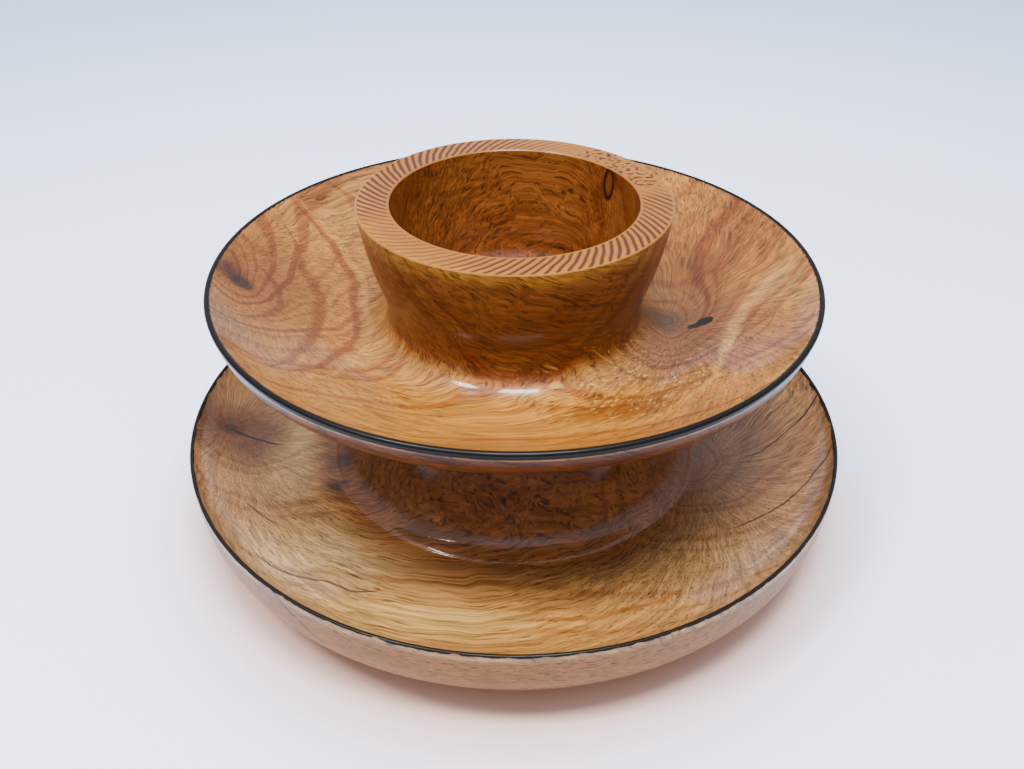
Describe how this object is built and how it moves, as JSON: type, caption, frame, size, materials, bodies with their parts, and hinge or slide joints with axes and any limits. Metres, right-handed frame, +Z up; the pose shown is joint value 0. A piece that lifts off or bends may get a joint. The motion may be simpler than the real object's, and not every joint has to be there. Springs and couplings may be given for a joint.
{
  "type": "chip and dip server",
  "caption": "Turned wooden chip and dip server: a dished plate with a flared dip cup in its middle lifts off a wide footed bowl with a conical pedestal.",
  "frame": {"origin": "on the table under the middle of the bowl's foot", "axes": "+Z up, along the turning axis; +X to the right and +Y to the back as the server is seen from the front; the wood's figure fixes X"},
  "size_m": [0.305, 0.305, 0.1558],
  "materials": {
    "bowl_wood": "gloss lacquer on pale knotty hardwood, edge burnt black",
    "plate_wood": "gloss lacquer on amber knotty hardwood, edge burnt black"
  },
  "bodies": {
    "lower_bowl": {"lower_bowl": "bowl_wood"},
    "upper_plate": {"upper_plate": "plate_wood"}
  },
  "joints": [
    {"name": "upper_plate_lift", "type": "slide", "parent": "lower_bowl", "child": "upper_plate", "axis": [0, 0, 1], "range_m": [0, 0.05]}
  ]
}
